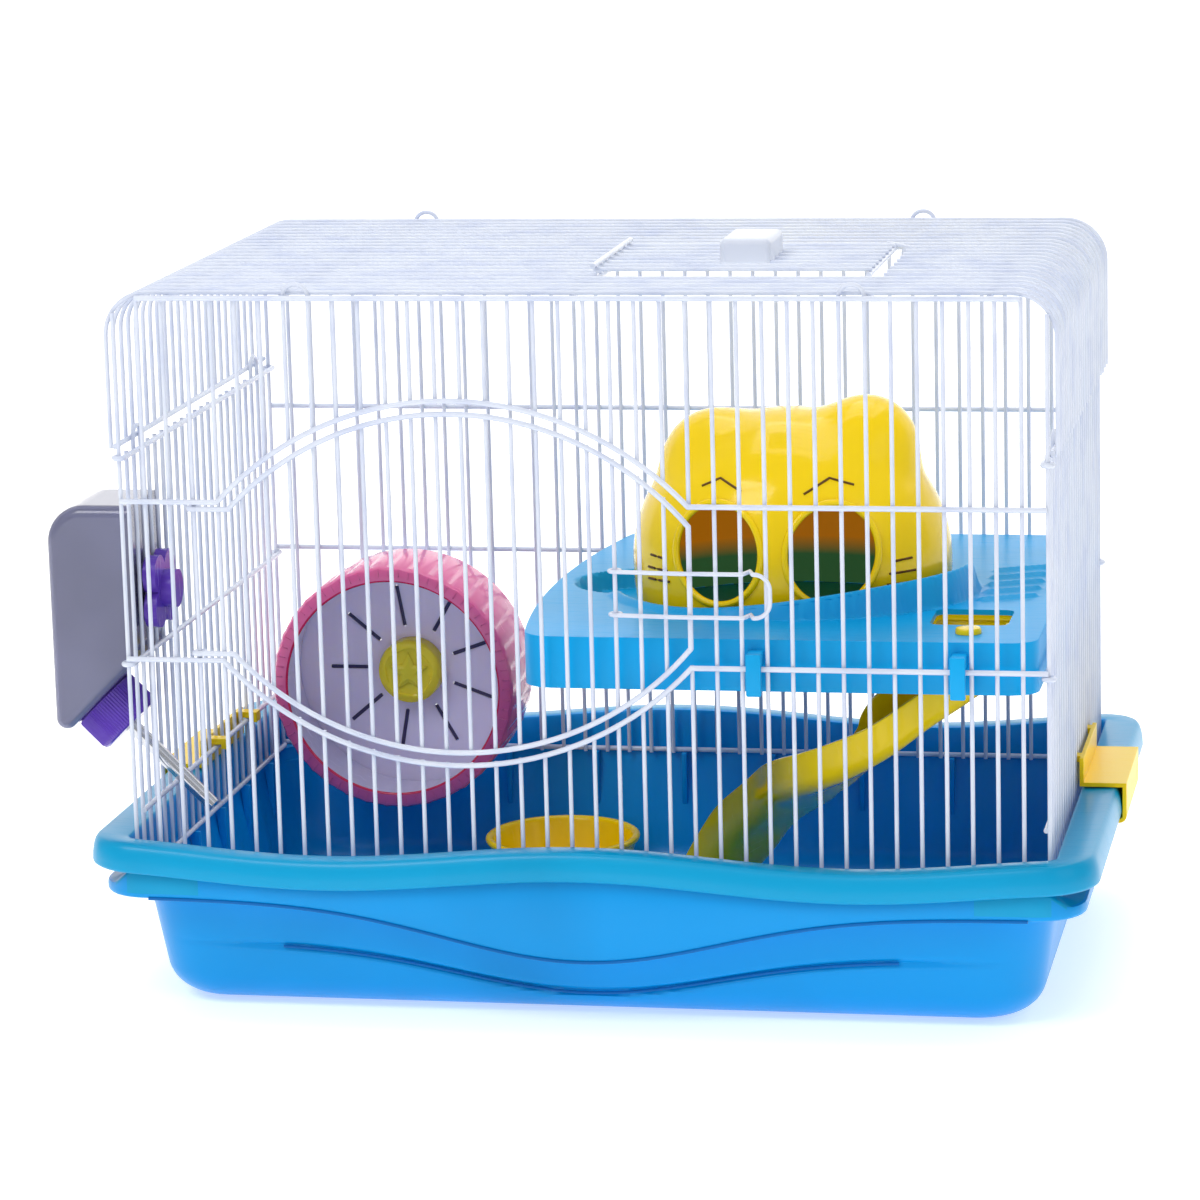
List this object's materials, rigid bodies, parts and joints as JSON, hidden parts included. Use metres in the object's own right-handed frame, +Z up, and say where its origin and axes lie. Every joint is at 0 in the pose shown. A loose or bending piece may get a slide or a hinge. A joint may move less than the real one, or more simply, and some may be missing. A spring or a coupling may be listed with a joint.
{
  "type": "hamster cage",
  "caption": "Small pet cage: a moulded tray with a welded wire top, a front door, a roof hatch, a running wheel, a raised deck with a den, a slide, a bowl and a drinking bottle.",
  "frame": {"origin": "middle of the tray's underside, on the flat centre pad that rests on the table", "axes": "+X to the right seen from the door side, +Y to the back, +Z up"},
  "size_m": [0.4927, 0.304, 0.3516],
  "materials": {
    "tray_blue": "moulded, glossy",
    "wire_white": "white dipped coating, glossy",
    "deck_blue": "moulded, glossy",
    "house_yellow": "moulded, glossy",
    "slide_yellow": "moulded, glossy",
    "bowl_yellow": "moulded, glossy",
    "clip_yellow": "moulded, glossy",
    "wheel_pink": "moulded, glossy",
    "wheel_lilac": "moulded, glossy",
    "hub_yellow": "moulded, glossy",
    "bracket_white": "moulded, satin",
    "bottle_smoke": "moulded, glossy",
    "cap_purple": "moulded, glossy",
    "seal_rubber": "smooth",
    "tube_steel": "drawn, satin",
    "grip_white": "moulded, satin"
  },
  "bodies": {
    "cage": {"back_bars": "wire_white", "back_hook_bars": "wire_white", "back_rails": "wire_white", "bottle_bolt": "cap_purple", "bottle_cap": "cap_purple", "bottle_seal": "seal_rubber", "bottle_shell": "bottle_smoke", "drinking_tube": "tube_steel", "front_bars": "wire_white", "front_frame_wires": "wire_white", "front_hook_bars": "wire_white", "front_rails": "wire_white", "left_bars": "wire_white", "left_hook_bars": "wire_white", "left_rails": "wire_white", "platform": "deck_blue", "right_bars": "wire_white", "right_hook_bars": "wire_white", "right_rails": "wire_white", "roof_cut_wires": "wire_white", "roof_rails": "wire_white", "roof_wires": "wire_white", "slide": "slide_yellow", "slide_peg": "slide_yellow", "tray": "tray_blue", "tube_ball": "tube_steel", "wheel_axle": "bracket_white", "wheel_backplate": "wheel_pink", "wheel_nut": "wheel_pink"},
    "door": {"door_border": "wire_white", "door_bars": "wire_white"},
    "door_latch": {"door_latch": "wire_white"},
    "hatch": {"hatch_frame": "wire_white", "hatch_bars": "wire_white", "hatch_grip": "grip_white"},
    "wheel": {"wheel_drum": "wheel_pink", "wheel_disc": "wheel_lilac", "wheel_cap": "hub_yellow"},
    "left_clip": {"left_clip": "clip_yellow"},
    "right_clip": {"right_clip": "clip_yellow"},
    "bottle_nut": {"bottle_nut": "cap_purple"},
    "house": {"house": "house_yellow"},
    "bowl": {"bowl": "bowl_yellow"}
  },
  "joints": [
    {"name": "door_hinge", "type": "hinge", "parent": "cage", "child": "door", "pos_m": [-0.17825, -0.13225, 0.205], "axis": [0, 0, -1], "range_deg": [0, 115]},
    {"name": "latch_pivot", "type": "hinge", "parent": "door", "child": "door_latch", "pos_m": [0.01725, -0.13225, 0.202], "axis": [0, 0, -1], "range_deg": [0, 70]},
    {"name": "hatch_hinge", "type": "hinge", "parent": "cage", "child": "hatch", "pos_m": [0.134, -0.0295, 0.33585], "axis": [0, 1, 0], "range_deg": [0, 110]},
    {"name": "wheel_spin", "type": "hinge", "parent": "cage", "child": "wheel", "pos_m": [-0.138, 0.1, 0.1085], "axis": [0, 1, 0], "continuous": true},
    {"name": "left_clip_pivot", "type": "hinge", "parent": "cage", "child": "left_clip", "pos_m": [-0.23375, 0.02875, 0.071], "axis": [0, -1, 0], "range_deg": [0, 70]},
    {"name": "right_clip_pivot", "type": "hinge", "parent": "cage", "child": "right_clip", "pos_m": [0.23375, 0.02875, 0.071], "axis": [0, 1, 0], "range_deg": [0, 70]},
    {"name": "nut_turn", "type": "hinge", "parent": "cage", "child": "bottle_nut", "pos_m": [-0.205, -0.092, 0.193], "axis": [1, 0, 0], "continuous": true},
    {"name": "house_lift", "type": "slide", "parent": "cage", "child": "house", "axis": [0, 0, 1], "range_m": [0, 0.045]},
    {"name": "bowl_lift", "type": "slide", "parent": "cage", "child": "bowl", "axis": [0, 0, 1], "range_m": [0, 0.02]}
  ]
}
